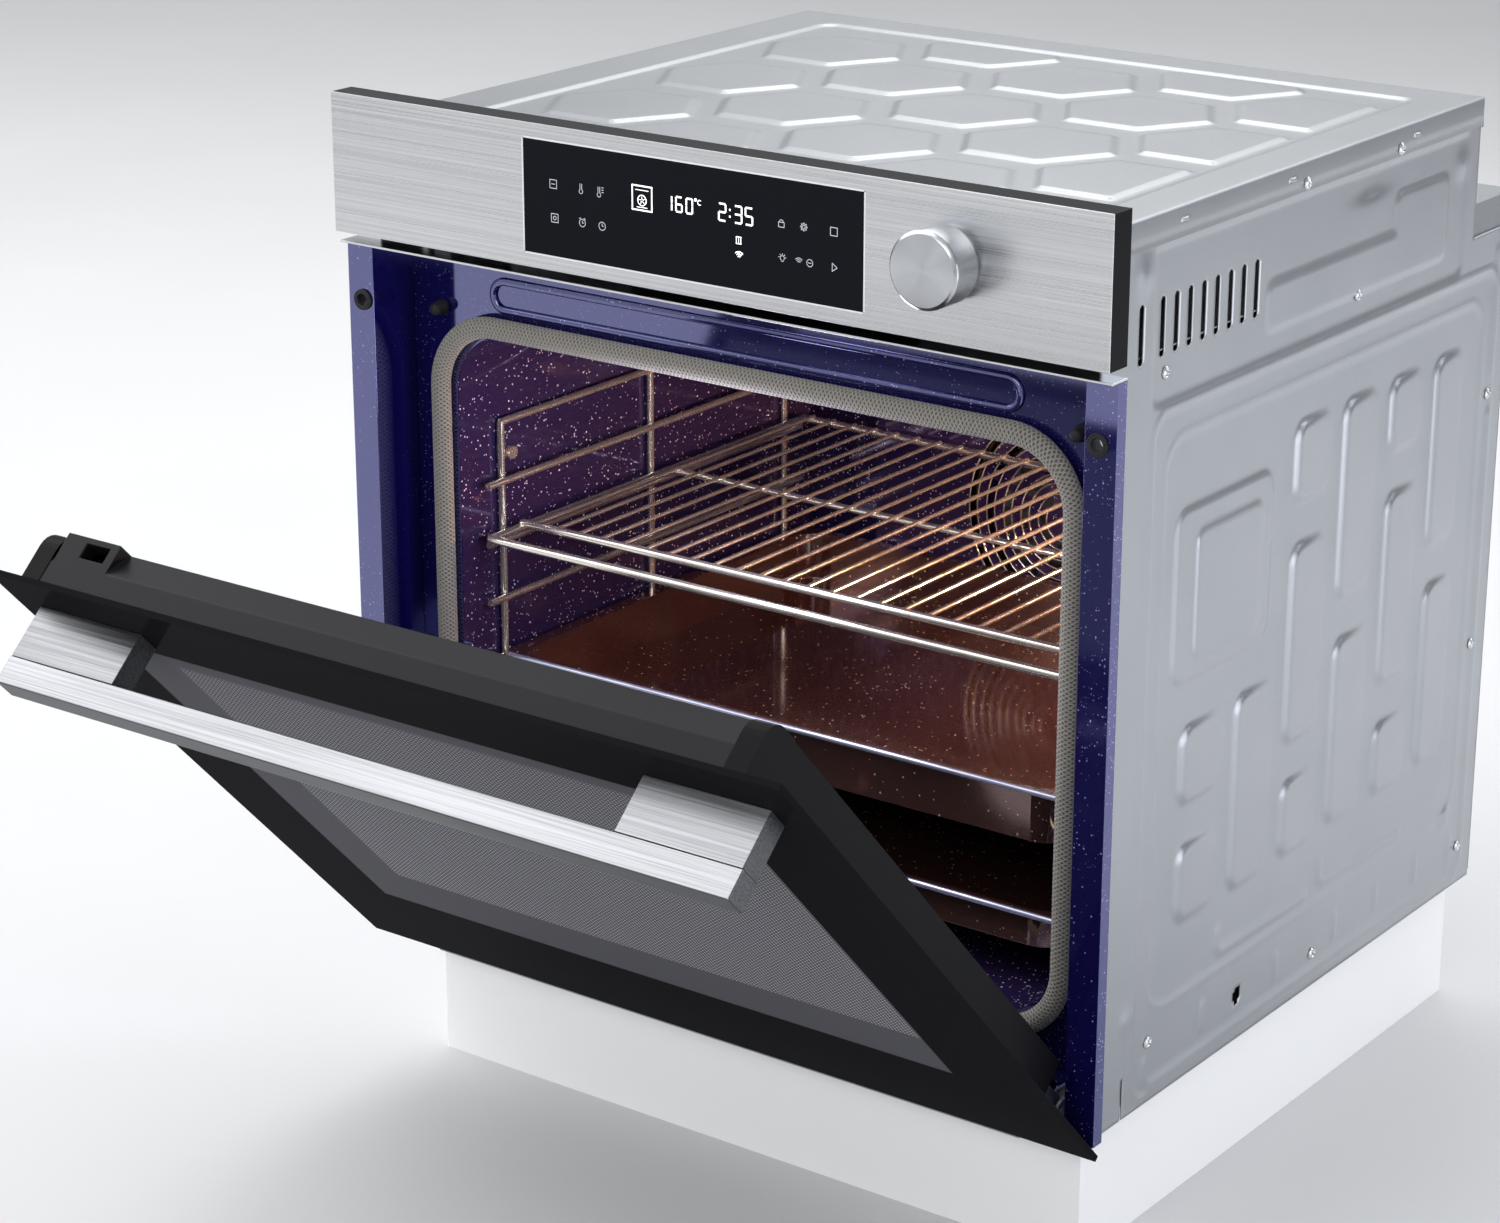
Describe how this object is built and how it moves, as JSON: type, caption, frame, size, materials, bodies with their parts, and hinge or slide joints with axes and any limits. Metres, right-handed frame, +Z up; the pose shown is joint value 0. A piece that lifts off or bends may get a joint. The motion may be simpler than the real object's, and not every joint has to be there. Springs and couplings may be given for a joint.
{
  "type": "built-in wall oven",
  "caption": "Built-in electric single oven with a control panel above a bottom-hinged glass door, wire shelf, trays, racks, fans, heaters and a pressed sheet chassis.",
  "frame": {"origin": "middle of the chassis underside, in the plane of the cabinet's front edge", "axes": "+X to the right seen from the front, +Y into the cabinet, +Z up"},
  "size_m": [0.595, 0.9103, 0.603],
  "materials": {
    "galvanised": "satin galvanised sheet",
    "front_enamel": "glossy navy enamel with white speckles",
    "cavity_enamel": "glossy dark enamel with light speckles",
    "tray_enamel": "glossy dark enamel",
    "brushed_steel": "fine horizontal brushing",
    "handle_steel": "brushed along its length",
    "knob_metal": "spun-brushed face, brushed side",
    "chrome_wire": "bright plated wire",
    "heater": "dark oxidised tube",
    "motor_steel": "satin",
    "rotor_metal": "satin",
    "hinge_steel": "zinc plated",
    "black_plastic": "fine matte grain",
    "cap_plastic": "fine matte grain",
    "board_green": "circuit board",
    "display_black": "gloss black glass, opaque from behind",
    "door_glass": "dark printed glass",
    "clear_glass": "clear heat-resistant glass",
    "lens_glass": "frosted lens",
    "gasket": "braided glass-fibre rope",
    "buffer_rubber": "soft rubber",
    "wool": "mineral wool blanket",
    "bulb": "warm lamp"
  },
  "bodies": {
    "chassis": {"side_panel_left": "galvanised", "side_panel_right": "galvanised", "top_cover": "galvanised", "base_plate": "galvanised", "rear_upper_panel": "galvanised", "rear_cover": "galvanised", "front_plate": "front_enamel", "column_left": "front_enamel", "column_right": "front_enamel", "cavity_liner": "cavity_enamel", "cavity_back": "cavity_enamel", "insulation": "wool", "fan_baffle": "cavity_enamel", "fan_motor": "motor_steel", "ring_heater": "heater", "grill_element": "heater", "floor_element": "heater", "lamp_housing": "galvanised", "lamp_bulb": "bulb", "lamp_lens": "lens_glass", "oven_probe": "chrome_wire", "rack_left": "chrome_wire", "rack_right": "chrome_wire", "rack_studs": "chrome_wire", "door_gasket": "gasket", "door_buffers": "buffer_rubber", "cabinet_bushes": "black_plastic", "control_fascia": "brushed_steel", "fascia_frame": "black_plastic", "display_glass": "display_black", "control_board": "board_green", "knob_encoder": "black_plastic", "vent_lip": "brushed_steel", "control_deck": "galvanised", "blower_housing": "galvanised", "blower_motor": "motor_steel", "lock_body": "black_plastic", "hinge_receiver_left": "hinge_steel", "hinge_receiver_right": "hinge_steel", "hinge_pins": "hinge_steel", "terminal_block": "black_plastic", "chassis_screws": "chrome_wire"},
    "door": {"outer_pane": "door_glass", "middle_pane": "clear_glass", "inner_pane": "clear_glass", "door_side_left": "black_plastic", "door_side_right": "black_plastic", "door_cap": "cap_plastic", "door_foot": "black_plastic", "hinge_arms": "hinge_steel", "handle_bar": "handle_steel", "handle_brackets": "handle_steel", "handle_screws": "hinge_steel"},
    "knob": {"knob": "knob_metal"},
    "shelf": {"wire_shelf": "chrome_wire"},
    "tray_upper": {"upper_tray": "tray_enamel"},
    "tray_lower": {"lower_tray": "tray_enamel"},
    "fan": {"convection_fan": "rotor_metal"},
    "blower": {"blower_rotor": "rotor_metal"},
    "lock": {"lock_bolt": "hinge_steel"}
  },
  "joints": [
    {"name": "door_hinge", "type": "hinge", "parent": "chassis", "child": "door", "pos_m": [0, -0.0008, 0.0258], "axis": [1, 0, 0], "range_deg": [-43.2, 46.8], "stiffness_Nm_per_rad": 16, "springref_deg": -43.2},
    {"name": "knob_turn", "type": "hinge", "parent": "chassis", "child": "knob", "pos_m": [0.188, -0.04, 0.56], "axis": [0, -1, 0], "continuous": true},
    {"name": "shelf_slide", "type": "slide", "parent": "chassis", "child": "shelf", "axis": [0, -1, 0], "range_m": [0, 0.2]},
    {"name": "upper_tray_slide", "type": "slide", "parent": "chassis", "child": "tray_upper", "axis": [0, -1, 0], "range_m": [0, 0.13]},
    {"name": "lower_tray_slide", "type": "slide", "parent": "chassis", "child": "tray_lower", "axis": [0, -1, 0], "range_m": [0, 0.07]},
    {"name": "fan_spin", "type": "hinge", "parent": "chassis", "child": "fan", "pos_m": [0, 0.43, 0.25], "axis": [0, -1, 0], "continuous": true},
    {"name": "blower_spin", "type": "hinge", "parent": "chassis", "child": "blower", "pos_m": [0, 0.265, 0.54], "axis": [1, 0, 0], "continuous": true},
    {"name": "lock_drop", "type": "slide", "parent": "chassis", "child": "lock", "axis": [0, 0, 1], "range_m": [-0.012, 0]}
  ]
}
